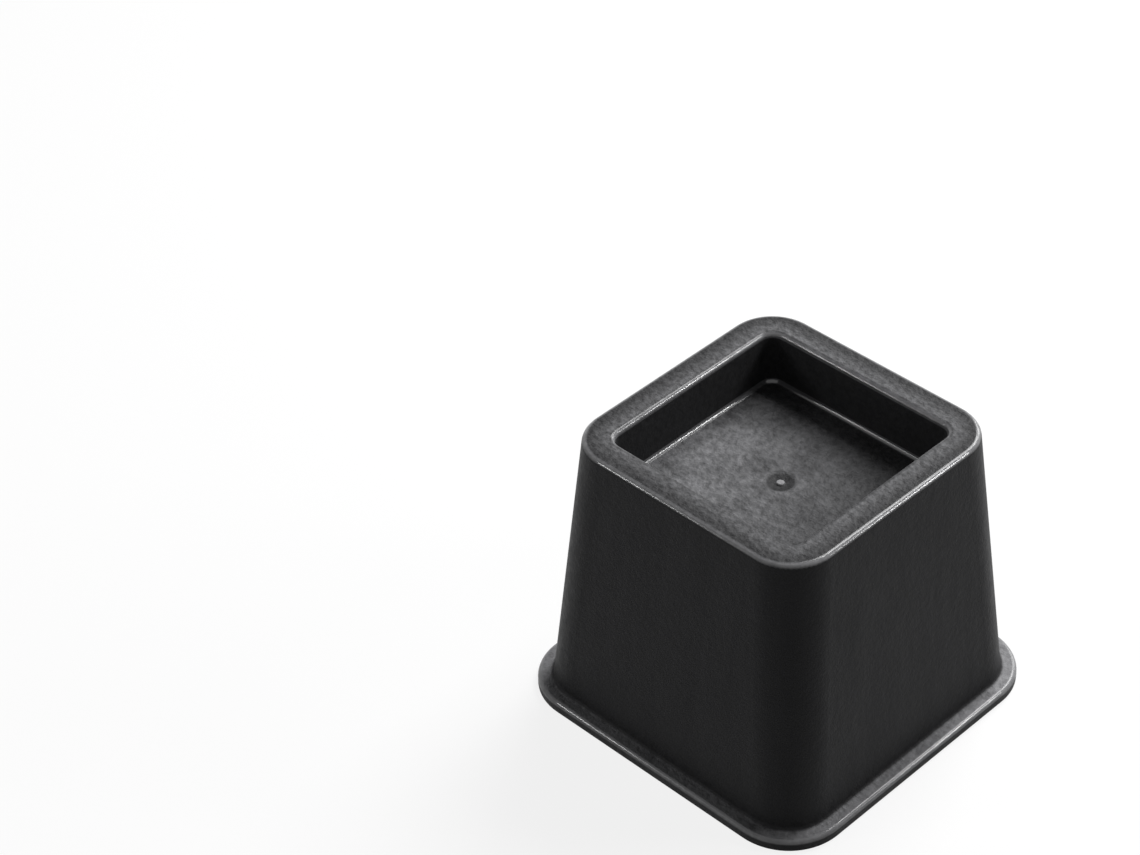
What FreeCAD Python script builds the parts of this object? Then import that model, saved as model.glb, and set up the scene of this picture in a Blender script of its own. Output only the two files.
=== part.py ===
# Bed riser: a square, tapered, hollow stand moulded in one piece, with a pocket in its top for a furniture leg.
import FreeCAD
import Part
import math
import os

# Driving dimensions, in millimetres, with angles in degrees. Widths are measured across the flats.
LIFT = 101.6                # standing surface to pocket floor: 4 inches
POCKET_WIDTH = 91.5         # at the mouth; a post of 89 mm drops in
POCKET_DEPTH = 23.4         # rim to pocket floor
POCKET_DRAFT = 1.5          # lean of each side, to leave the mould
POCKET_CORNER_RADIUS = 5.5
POCKET_WALL = 3.5
POCKET_FLOOR = 4.0          # thickness under the leg
POCKET_MOUTH_ROUND = 2.0    # inner edge of the rim
POCKET_FLOOR_ROUND = 2.0    # hollow blend round the pocket floor

RIM_WIDTH = 12.8            # mouth to outside of the walls, before both edges are rounded
RIM_THICKNESS = 4.0
RIM_ROUND = 2.2             # outer edge of the rim

WALL = 4.0                  # the four sloping walls, square to their faces
WALL_LEAN = 4.85            # lets the risers leave the mould and nest
CORNER_RADIUS = 19.5        # the four upright corners, on the outside

FOOT_PROJECTION = 5.85      # past the line where the walls would reach the standing surface
FOOT_THICKNESS = 5.2
FOOT_EDGE_ROUND = 1.8       # upper outer edge of the foot
FOOT_HEEL_ROUND = 0.8       # lower outer edge of the foot
FOOT_BLEND = 1.5            # hollow blend where the walls meet the foot

NEST_PITCH = 58.0           # how far each riser of a nested stack stands out of the next
RIB_THICKNESS = 2.5         # at the lower edge
RIB_DRAFT = 0.5             # lean of each side, to leave the mould
RIB_SPACING = 38.0          # between the two ribs that run the same way

GATE_RADIUS = 6.5           # shallow dish where the plastic entered the mould
GATE_DEPTH = 0.9
STUB_RADIUS = 1.7           # broken-off sprue, which stays below the pocket floor
STUB_HEIGHT = 0.8
STUB_CHAMFER = 0.4

# Overlap that makes a cutting tool pass cleanly through an open face.
CUT_PAST = 1.0
LEVEL_TOLERANCE = 1e-4

# What follows from the driving dimensions.
wall_lean = math.radians(WALL_LEAN)
height = LIFT + POCKET_DEPTH
top_width = POCKET_WIDTH + 2 * RIM_WIDTH
base_width = top_width + 2 * height * math.tan(wall_lean)
foot_width = base_width + 2 * FOOT_PROJECTION
rib_edge_z = height - NEST_PITCH


def wall_width(z):
    """Width over the outside of the walls at height z."""
    return base_width - 2 * z * math.tan(wall_lean)


def cavity_width(z):
    """Width between the inside faces of the walls at height z."""
    return wall_width(z) - 2 * WALL / math.cos(wall_lean)


def pocket_width(z):
    """Width of the pocket at height z."""
    return POCKET_WIDTH - 2 * (height - z) * math.tan(math.radians(POCKET_DRAFT))


def rib_thickness(z):
    """Thickness of a rib at height z."""
    return RIB_THICKNESS + 2 * (z - rib_edge_z) * math.tan(math.radians(RIB_DRAFT))


def tapered_block(low_x, low_y, high_x, high_y, low_z, high_z):
    """A four-sided block on the Z axis, from its widths at its low and high ends."""
    block = Part.makeWedge(-low_x / 2, low_z, -low_y / 2, -high_y / 2, -high_x / 2,
                           low_x / 2, high_z, low_y / 2, high_y / 2, high_x / 2)
    block.rotate(FreeCAD.Vector(0, 0, 0), FreeCAD.Vector(1, 0, 0), 90)
    return block


def rounded_block(low_width, high_width, low_z, high_z, corner_radius):
    """A square block on the Z axis, straight or tapered, with its four upright corners rounded."""
    block = tapered_block(low_width, low_width, high_width, high_width, low_z, high_z)
    uprights = [e for e in block.Edges if e.BoundBox.ZLength > (high_z - low_z) / 2]
    return block.makeFillet(corner_radius, uprights)


def upward_face(shape, z):
    """The flat face of the shape that looks up from height z."""
    for face in shape.Faces:
        level = abs(face.BoundBox.ZMin - z) + abs(face.BoundBox.ZMax - z) < LEVEL_TOLERANCE
        if level and face.normalAt(0, 0).z > 0:
            return face
    raise ValueError(f"no face looks up from {z}")


def downward_face(shape, z):
    """The flat face of the shape that looks down from height z."""
    for face in shape.Faces:
        level = abs(face.BoundBox.ZMin - z) + abs(face.BoundBox.ZMax - z) < LEVEL_TOLERANCE
        if level and face.normalAt(0, 0).z < 0:
            return face
    raise ValueError(f"no face looks down from {z}")


def inner_edges(face):
    """The edges of a face's hole."""
    outer = face.OuterWire
    return [e for wire in face.Wires if not wire.isSame(outer) for e in wire.Edges]


def foot():
    """The flange round the base, its corners concentric with those of the walls."""
    plate = rounded_block(foot_width, foot_width, 0, FOOT_THICKNESS, CORNER_RADIUS + FOOT_PROJECTION)
    plate = plate.makeFillet(FOOT_EDGE_ROUND, upward_face(plate, FOOT_THICKNESS).OuterWire.Edges)
    return plate.makeFillet(FOOT_HEEL_ROUND, downward_face(plate, 0).OuterWire.Edges)


def outside():
    """The riser as it looks from outside, still solid: sloping walls on the foot, with a rounded rim."""
    walls = rounded_block(base_width, top_width, 0, height, CORNER_RADIUS)
    walls = walls.makeFillet(RIM_ROUND, upward_face(walls, height).OuterWire.Edges)
    body = walls.fuse(foot()).removeSplitter()
    return body.makeFillet(FOOT_BLEND, inner_edges(upward_face(body, FOOT_THICKNESS)))


def pocket():
    """The space that the furniture leg stands in."""
    past_z = height + CUT_PAST
    space = rounded_block(pocket_width(LIFT), pocket_width(past_z), LIFT, past_z, POCKET_CORNER_RADIUS)
    return space.makeFillet(POCKET_FLOOR_ROUND, downward_face(space, LIFT).OuterWire.Edges)


def pocket_tub():
    """The pocket's own walls and floor, as a solid block that hangs in the cavity."""
    under_z = LIFT - POCKET_FLOOR
    return rounded_block(pocket_width(under_z) + 2 * POCKET_WALL, pocket_width(height) + 2 * POCKET_WALL,
                         under_z, height, POCKET_CORNER_RADIUS + POCKET_WALL)


def ribs():
    """Two pairs of crossing ribs under the pocket. The rim of the next riser in a stack stops at their lower edges."""
    plates = []
    for turn in (0, 90):
        for side in (-1, 1):
            plate = tapered_block(base_width, rib_thickness(rib_edge_z), base_width, rib_thickness(height),
                                  rib_edge_z, height)
            plate.translate(FreeCAD.Vector(0, side * RIB_SPACING / 2, 0))
            plate.rotate(FreeCAD.Vector(0, 0, 0), FreeCAD.Vector(0, 0, 1), turn)
            plates.append(plate)
    return plates


def cavity():
    """The open space inside the riser: everything within the walls apart from the pocket's tub and the ribs."""
    top_z = height - RIM_THICKNESS
    space = rounded_block(cavity_width(-CUT_PAST), cavity_width(top_z), -CUT_PAST, top_z, CORNER_RADIUS - WALL)
    return space.cut(pocket_tub().fuse(ribs()))


def gate_dish():
    """A shallow spherical dish, cut into the middle of the pocket floor."""
    ball_radius = (GATE_RADIUS ** 2 + GATE_DEPTH ** 2) / 2 / GATE_DEPTH
    return Part.makeSphere(ball_radius, FreeCAD.Vector(0, 0, LIFT - GATE_DEPTH + ball_radius))


def gate_stub():
    """The short stub that is left in the dish when the sprue is broken off."""
    root_z = LIFT - GATE_DEPTH - POCKET_FLOOR / 2
    top_z = LIFT - GATE_DEPTH + STUB_HEIGHT
    stub = Part.makeCylinder(STUB_RADIUS, top_z - root_z, FreeCAD.Vector(0, 0, root_z))
    return stub.makeChamfer(STUB_CHAMFER, upward_face(stub, top_z).Edges)


def riser():
    """The whole moulding."""
    body = outside().cut(pocket())
    body = body.makeFillet(POCKET_MOUTH_ROUND, inner_edges(upward_face(body, height)))
    body = body.cut(cavity())
    return body.cut(gate_dish()).fuse(gate_stub()).removeSplitter()


def main():
    shape = riser()
    solid = shape.Solids[0]
    if len(shape.Solids) != 1 or not solid.isValid():
        raise ValueError("the riser has to be one sound solid")
    print(f"riser {foot_width:.2f} mm wide, {height:.2f} mm high, {solid.Volume / 1000:.1f} cm3")
    os.makedirs("parts", exist_ok=True)
    solid.exportStep("parts/riser.step")


main()
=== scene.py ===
import math
import bpy
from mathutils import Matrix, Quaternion, Vector


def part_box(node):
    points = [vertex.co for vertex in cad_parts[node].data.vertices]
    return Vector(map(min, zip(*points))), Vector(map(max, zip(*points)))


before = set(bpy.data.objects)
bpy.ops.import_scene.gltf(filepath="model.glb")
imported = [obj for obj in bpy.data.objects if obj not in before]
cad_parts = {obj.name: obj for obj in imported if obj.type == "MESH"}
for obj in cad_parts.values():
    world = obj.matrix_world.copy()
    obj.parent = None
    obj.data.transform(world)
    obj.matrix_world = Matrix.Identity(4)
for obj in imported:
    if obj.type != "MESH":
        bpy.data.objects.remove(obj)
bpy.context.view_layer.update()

# Riser
# One injection moulding of black polypropylene: four leaning walls on a flanged foot, with a pocket in the
# top for a furniture leg. It is shot in one go into a spark-eroded steel mould, through a gate in the middle
# of the pocket floor, and it stands loose on the floor.
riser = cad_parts["riser"]
low_corner, high_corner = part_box("riser")
mm = 0.001
foot_width = high_corner.x - low_corner.x
foot_corner_radius = 25.35 * mm
foot_top = 5.2 * mm
rim_top = high_corner.z
rim_width = 117.1 * mm
rim_corner_radius = 19.5 * mm
rim_round = 2.2 * mm
mouth_width = 91.5 * mm
mouth_corner_radius = 5.5 * mm
pocket_floor = rim_top - 23.4 * mm
pocket_floor_round = 2.0 * mm
gate_radius = 6.5 * mm
gate_bottom = pocket_floor - 0.9 * mm
stub_radius = 1.7 * mm


def linear(hex_colour):
    """An sRGB hex colour as linear RGBA."""
    channels = [int(hex_colour[i:i + 2], 16) / 255 for i in (1, 3, 5)]
    return [c / 12.92 if c <= 0.04045 else ((c + 0.055) / 1.055) ** 2.4 for c in channels] + [1.0]


def add_node(tree, kind, inputs, **settings):
    """Adds a node with its settings. An input gets a value, or a link from a node or one of its outputs."""
    node = tree.nodes.new(kind)
    for name, value in settings.items():
        setattr(node, name, value)
    for socket, source in inputs.items():
        if isinstance(source, bpy.types.Node):
            source = source.outputs[0]
        if isinstance(source, bpy.types.NodeSocket):
            tree.links.new(source, node.inputs[socket])
        else:
            node.inputs[socket].default_value = source
    return node


# Moulded polypropylene, coloured right through with carbon black. The eroded mould leaves a fine matt grain
# that breaks each reflection into a soft, mottled sheen: upright walls look nearly black, and faces that look
# up turn grey. Edges are rubbed smooth by handling, and their pale colour is partly that wear and partly a
# painted highlight.
polypropylene = bpy.data.materials.new("moulded_black_polypropylene")
polypropylene.use_nodes = True
pp = polypropylene.node_tree
skin = pp.nodes["Principled BSDF"]
skin.inputs["IOR"].default_value = 1.49
# The grain traps most of the gloss that a smooth face would have.
skin.inputs["Specular IOR Level"].default_value = 0.085
skin.inputs["Coat IOR"].default_value = 1.49
skin.inputs["Coat Roughness"].default_value = 0.14

place = add_node(pp, "ShaderNodeTexCoord", {}).outputs
across, along, level = add_node(pp, "ShaderNodeSeparateXYZ", {0: place["Object"]}).outputs
upward = add_node(pp, "ShaderNodeSeparateXYZ", {0: place["Normal"]}).outputs["Z"]
plan = add_node(pp, "ShaderNodeVectorMath", {0: place["Object"], 1: (1, 1, 0)}, operation="MULTIPLY")


def eroded(size_mm, stretch=1.0):
    """Uneven erosion of the mould, in patches of a size in millimetres, drawn out upwards by the stretch."""
    per_metre = 1000 / size_mm
    scaled = add_node(pp, "ShaderNodeMapping", {0: place["Object"],
                                                "Scale": (per_metre, per_metre, per_metre / stretch)})
    return add_node(pp, "ShaderNodeTexNoise", {"Vector": scaled, "Scale": 1.0, "Detail": 2.0})


# The steel was eroded in lumps of about 2.5 mm and in clouds of about 12 mm, and the walls have faint upright
# bands, about 7 mm wide, where they were drawn out of the mould.
lumps = eroded(2.5)
clouds = eroded(12.0)
bands = eroded(7.0, stretch=8.0)
# Erosion craters are about 0.1 mm wide. They are drawn at 0.8 mm, so that they show in a picture of the whole
# riser.
crater_mm = 0.8
craters = add_node(pp, "ShaderNodeTexVoronoi", {"Vector": place["Object"], "Scale": 1000 / crater_mm,
                                                "Smoothness": 0.6}, feature="SMOOTH_F1")


def past_square(width, corner_radius):
    """How far a point lies outside a square with rounded corners, seen from above. Inside, it is negative."""
    straight = width / 2 - corner_radius
    quarter = add_node(pp, "ShaderNodeVectorMath", {0: plan}, operation="ABSOLUTE")
    past = add_node(pp, "ShaderNodeVectorMath", {0: quarter, 1: (straight, straight, 0)},
                    operation="SUBTRACT")
    beyond = add_node(pp, "ShaderNodeVectorMath", {0: past, 1: (0, 0, 0)}, operation="MAXIMUM")
    reach = add_node(pp, "ShaderNodeVectorMath", {0: beyond}, operation="LENGTH").outputs["Value"]
    return add_node(pp, "ShaderNodeMath", {0: reach, 1: corner_radius}, operation="SUBTRACT")


past_foot = past_square(foot_width, foot_corner_radius)
past_rim = past_square(rim_width, rim_corner_radius)
past_mouth = past_square(mouth_width, mouth_corner_radius)


def zone(*limits, within=1.0):
    """A zone of the skin: a mask that fades in from 0 to 1 between the two levels of each limit's value."""
    for value, zero_at, one_at in limits:
        within = add_node(pp, "ShaderNodeMapRange", {"Value": value, "From Min": zero_at, "From Max": one_at,
                                                     "To Max": within})
    return within


# Wear and painted light. Hands polish the outer edges of the rim and the foot, and their pale colour is
# partly that wear and partly a painted highlight. Shoes and brooms scuff the top of the foot, and its pale
# colour is partly those scuffs and partly painted light. None of it is even: the high spots of the lumps are
# rubbed most, and the scuffs come in clouds.
uneven_wear_and_sheen = add_node(pp, "ShaderNodeMapRange", {"Value": lumps, "From Min": 0.3, "From Max": 0.7, "To Min": 0.7})
scuffs = add_node(pp, "ShaderNodeMapRange", {"Value": clouds, "From Min": 0.35, "From Max": 0.6,
                                             "To Min": 0.6})
rim_start = rim_top - rim_round
soft_border = 0.3 * mm
rim_wear_and_sheen = zone((level, rim_start - soft_border, rim_start + soft_border), within=uneven_wear_and_sheen)
foot_wear_and_light = zone((level, foot_top + 0.6 * mm, foot_top + 0.2 * mm), within=uneven_wear_and_sheen)
# The pale outer edges are partly wear and partly a painted highlight, kept to the part of each round where
# the highlight falls.
rim_edge_wear_and_highlight = zone((upward, 0.3, 0.65), (past_rim, -2.1 * mm, -1.0 * mm), within=rim_wear_and_sheen)
foot_edge_wear_and_highlight = zone((upward, 0.0, 0.3), (past_foot, -2.0 * mm, -1.0 * mm), within=foot_wear_and_light)
# The top of the foot is painted pale, partly scuffs and partly painted light.
foot_top_scuffs_and_light = zone((upward, 0.5, 0.9), (past_foot, -6.0 * mm, -5.0 * mm), within=foot_wear_and_light)
foot_top_scuffs_and_light = add_node(pp, "ShaderNodeMath", {0: foot_top_scuffs_and_light, 1: scuffs}, operation="MULTIPLY")

# Painted light round the mouth. A painted highlight runs along the edge of the mouth, strongest on the two
# sides at -X and +Y, and a painted sheen lies on the rim beside the mouth.
minus_across = add_node(pp, "ShaderNodeMath", {0: across, 1: -1.0}, operation="MULTIPLY")
to_far_sides = add_node(pp, "ShaderNodeMath", {0: minus_across, 1: along}, operation="MAXIMUM")
far_sides = add_node(pp, "ShaderNodeMapRange", {"Value": to_far_sides, "From Min": 20 * mm,
                                               "From Max": 44 * mm, "To Min": 0.25})
painted_mouth_highlight = zone((past_mouth, 1.6 * mm, 0.6 * mm), within=rim_wear_and_sheen)
painted_mouth_highlight = add_node(pp, "ShaderNodeMath", {0: painted_mouth_highlight, 1: far_sides}, operation="MULTIPLY")
# A painted sheen on the rim's flat beside the mouth.
painted_rim_sheen = zone((past_mouth, 0.8 * mm, 2.4 * mm), (past_mouth, 9.0 * mm, 2.6 * mm), within=rim_wear_and_sheen)
in_pocket = zone((past_mouth, 0.0, -0.4 * mm))
# A pool of painted light on the pocket floor, brightest towards the corner at -X and -Y and broken up in
# clouds.
painted_light_centre = (-22 * mm, -16 * mm, pocket_floor)
from_painted_light_centre = add_node(pp, "ShaderNodeVectorMath", {0: place["Object"], 1: painted_light_centre},
                         operation="DISTANCE").outputs["Value"]
painted_floor_light = zone((level, pocket_floor - 0.4 * mm, pocket_floor - 0.2 * mm),
                 (level, pocket_floor + 0.4 * mm, pocket_floor + 0.2 * mm),
                 (from_painted_light_centre, 65 * mm, 15 * mm), (clouds, 0.1, 0.6), within=in_pocket)
# A painted highlight on the round where the pocket walls meet the floor.
blend_top = pocket_floor + pocket_floor_round
highlit_floor_blend = zone((level, pocket_floor + 0.1 * mm, pocket_floor + 0.4 * mm),
                   (level, blend_top, blend_top - 0.4 * mm), within=in_pocket)

# The gate: a dish round the stub of the broken-off sprue, darkened with painted shade.
from_axis = add_node(pp, "ShaderNodeVectorMath", {0: plan}, operation="LENGTH").outputs["Value"]
over_gate = zone((level, gate_bottom - 0.4 * mm, gate_bottom - 0.2 * mm))
gate_dish_shade = zone((from_axis, gate_radius + 0.4 * mm, gate_radius - 1.2 * mm), (from_axis, 0.0, gate_radius),
            (lumps, 0.2, 0.6), within=over_gate)
# The stub is painted pale, partly whitening from the break and partly a painted highlight.
stub = zone((from_axis, stub_radius + soft_border, stub_radius - soft_border), within=over_gate)


def lay_over(colour, *layers):
    """Lays colours over a colour. A layer is a zone, the share of it that covers, and an sRGB hex colour."""
    for where, share, hex_colour in layers:
        cover = add_node(pp, "ShaderNodeMath", {0: where, 1: share}, operation="MULTIPLY")
        colour = add_node(pp, "ShaderNodeMixRGB", {"Fac": cover, "Color1": colour,
                                                   "Color2": linear(hex_colour)})
    return colour


# Colour: two near-blacks in lumps and clouds, with a pool of painted light on the pocket floor and a painted
# sheen on the rim beside the mouth, all under a speckle from the lumps. The speckle is weaker on the walls,
# because a wall that slides out of the mould has a shallower grain. The colours laid over it have none:
# painted shade in the gate dish, the pale stub, a painted highlight on the round at the pocket floor, the
# pale top of the foot and the pale edges.
patches = add_node(pp, "ShaderNodeMath", {0: clouds, 1: 0.5, 2: lumps}, operation="MULTIPLY_ADD")
grained = lay_over(linear("#2d2d2e"), (zone((patches, 0.55, 0.95)), 1.0, "#343435"),
                   (painted_floor_light, 0.8, "#747476"), (painted_rim_sheen, 0.5, "#747476"))
high_and_low = add_node(pp, "ShaderNodeMapRange", {"Value": lumps, "From Min": 0.3, "From Max": 0.7,
                                                   "To Min": -0.5, "To Max": 0.5})
depth = add_node(pp, "ShaderNodeMapRange", {"Value": upward, "From Min": 0.3, "From Max": 0.9,
                                            "To Min": 0.1, "To Max": 0.6})
speckle = add_node(pp, "ShaderNodeMath", {0: high_and_low, 1: depth, 2: 1.0}, operation="MULTIPLY_ADD")
speckled = add_node(pp, "ShaderNodeVectorMath", {0: grained, "Scale": speckle}, operation="SCALE")
outer_edges = add_node(pp, "ShaderNodeMath", {0: rim_edge_wear_and_highlight, 1: foot_edge_wear_and_highlight}, operation="MAXIMUM")
edge_wear_and_highlights = add_node(pp, "ShaderNodeMath", {0: outer_edges, 1: painted_mouth_highlight}, operation="MAXIMUM")
colour = lay_over(speckled, (gate_dish_shade, 0.7, "#262627"), (stub, 1.0, "#8c8c8e"), (highlit_floor_blend, 0.6, "#7c7c7e"),
                  (foot_top_scuffs_and_light, 1.0, "#88888a"), (edge_wear_and_highlights, 1.0, "#767678"))
pp.links.new(colour.outputs["Color"], skin.inputs["Base Color"])

# Gloss: a satin skin, uneven in the lumps and bands, with a smooth coat where hands polish the outer edges,
# and on the edge of the mouth and the round at the pocket floor, where highlights are painted.
satin = add_node(pp, "ShaderNodeMapRange", {"Value": lumps, "From Min": 0.3, "From Max": 0.7,
                                            "To Min": 0.44, "To Max": 0.56})
duller = add_node(pp, "ShaderNodeMapRange", {"Value": bands, "From Min": 0.3, "From Max": 0.7,
                                             "To Max": 0.06})
roughness = add_node(pp, "ShaderNodeMath", {0: satin, 1: duller}, operation="ADD")
pp.links.new(roughness.outputs["Value"], skin.inputs["Roughness"])
polish = add_node(pp, "ShaderNodeMath", {0: edge_wear_and_highlights, 1: highlit_floor_blend}, operation="MAXIMUM")
pp.links.new(polish.outputs["Value"], skin.inputs["Coat Weight"])

# Relief: lumps, with craters on top of them. Both are drawn higher than the real ones, which are some
# hundredths of a millimetre high, so that they show. Lumps are lower on the walls, and both are nearly gone
# where the skin is polished.
left_outside_coat = add_node(pp, "ShaderNodeMapRange", {"Value": polish, "To Min": 1.0, "To Max": 0.05})
moulded_height = add_node(pp, "ShaderNodeMapRange", {"Value": upward, "From Min": 0.3, "From Max": 0.9,
                                                     "To Min": 0.3 * mm, "To Max": 1.2 * mm})
lump_height = add_node(pp, "ShaderNodeMath", {0: moulded_height, 1: left_outside_coat}, operation="MULTIPLY")
crater_height = add_node(pp, "ShaderNodeMath", {0: left_outside_coat, 1: 0.15 * mm}, operation="MULTIPLY")
lump_relief = add_node(pp, "ShaderNodeBump", {"Height": lumps, "Strength": 0.6, "Distance": lump_height})
relief = add_node(pp, "ShaderNodeBump", {"Height": craters, "Strength": 0.5, "Distance": crater_height,
                                         "Normal": lump_relief})
pp.links.new(relief.outputs["Normal"], skin.inputs["Normal"])

riser.material_slots[0].material = polypropylene

# Floor
# A plain sheet of white paper that lies flat under the riser. It is large enough to fill the picture from
# any side.
floor_reach = 6.0
floor_corners = [(-floor_reach, -floor_reach, 0), (floor_reach, -floor_reach, 0),
                 (floor_reach, floor_reach, 0), (-floor_reach, floor_reach, 0)]
floor_mesh = bpy.data.meshes.new("white_paper_floor")
floor_mesh.from_pydata(floor_corners, [], [(0, 1, 2, 3)])
floor = bpy.data.objects.new("white_paper_floor", floor_mesh)
bpy.context.scene.collection.objects.link(floor)


def seen_as_background(tree):
    """1 for rays that see the background, straight or reflected, and 0 for those that only carry light."""
    path = add_node(tree, "ShaderNodeLightPath", {}).outputs
    seen = add_node(tree, "ShaderNodeMath", {0: path["Is Camera Ray"], 1: path["Is Glossy Ray"]},
                    operation="MAXIMUM")
    return add_node(tree, "ShaderNodeMath", {0: seen, 1: path["Is Transmission Ray"]}, operation="MAXIMUM")


# Matt white paper, uncoated, so it shows no gloss. Its own colour is held down to a grey, so that it throws
# little light up at the black walls, and it adds the rest of its white by itself where it is seen. It still
# darkens in the riser's shadow.
paper = bpy.data.materials.new("matt_white_paper")
paper.use_nodes = True
paper_face = paper.node_tree.nodes["Principled BSDF"]
paper_face.inputs["Base Color"].default_value = linear("#626262")
paper_face.inputs["Roughness"].default_value = 0.9
paper_face.inputs["Specular IOR Level"].default_value = 0.1
paper_face.inputs["Emission Color"].default_value = linear("#ffffff")
added_white = 0.85
glow = add_node(paper.node_tree, "ShaderNodeMath", {0: seen_as_background(paper.node_tree), 1: added_white},
                operation="MULTIPLY")
paper.node_tree.links.new(glow.outputs["Value"], paper_face.inputs["Emission Strength"])
floor_mesh.materials.append(paper)


# Studio
# Soft boxes on stands, turned towards the riser, in a white room. The two at the back light the faces that
# look up, the narrow ones draw a bright line along the edges, and a weak one at the front keeps the walls
# from going quite black.
def soft_box(name, azimuth, elevation, distance, width, height, power, lean=0):
    """A rectangular lamp that looks at the riser. It stands at -Y for azimuth 0 and at +X for 90 degrees."""
    lamp = bpy.data.lights.new(name, "AREA")
    lamp.shape = "RECTANGLE"
    lamp.size = width
    lamp.size_y = height
    lamp.energy = power
    stand = bpy.data.objects.new(name, lamp)
    bpy.context.scene.collection.objects.link(stand)
    turn, rise = math.radians(azimuth), math.radians(elevation)
    away = Vector((math.sin(turn) * math.cos(rise), -math.cos(turn) * math.cos(rise), math.sin(rise)))
    aim_height = 0.1
    stand.location = Vector((0, 0, aim_height)) + away * distance
    stand.rotation_mode = "QUATERNION"
    stand.rotation_quaternion = (-away).to_track_quat("-Z", "Y") @ Quaternion((0, 0, 1), math.radians(lean))


soft_box("back_soft_box", azimuth=188, elevation=49, distance=1.3, width=0.7, height=0.7, power=24)
soft_box("low_soft_box", azimuth=186, elevation=22, distance=1.3, width=0.5, height=0.35, power=4)
soft_box("right_strip_box", azimuth=134, elevation=31, distance=1.2, width=0.03, height=0.5, power=3.0,
         lean=-37)
soft_box("left_strip_box", azimuth=324, elevation=24, distance=1.2, width=0.03, height=0.4, power=1.4,
         lean=30)
soft_box("front_soft_box", azimuth=345, elevation=12, distance=2.0, width=1.2, height=0.6, power=1.5)

room = bpy.data.worlds.new("white_room")
bpy.context.scene.world = room
room.use_nodes = True
room_light = 0.04
backdrop = add_node(room.node_tree, "ShaderNodeMapRange", {"Value": seen_as_background(room.node_tree),
                                                           "To Min": room_light, "To Max": 1.0})
room.node_tree.nodes["Background"].inputs["Color"].default_value = linear("#ffffff")
room.node_tree.links.new(backdrop.outputs["Result"], room.node_tree.nodes["Background"].inputs["Strength"])

# Camera
# It stands at the front right and looks down at the riser through a long lens. It is tipped sideways by about
# two degrees.
lens = bpy.data.cameras.new("camera")
lens.sensor_fit = "HORIZONTAL"
lens.sensor_width = 36.0
lens.lens = 95.118
camera = bpy.data.objects.new("camera", lens)
bpy.context.scene.collection.objects.link(camera)
camera.location = Vector((0.5759, -0.6639, 0.8371))
camera_aim = Vector((-0.1726, 0.0564, 0.0))
camera_roll = math.radians(-2.12)
level_view = (camera_aim - camera.location).to_track_quat("-Z", "Y")
camera.rotation_mode = "QUATERNION"
camera.rotation_quaternion = level_view @ Quaternion((0, 0, 1), camera_roll)
bpy.context.scene.camera = camera
bpy.context.scene.view_settings.view_transform = "Standard"
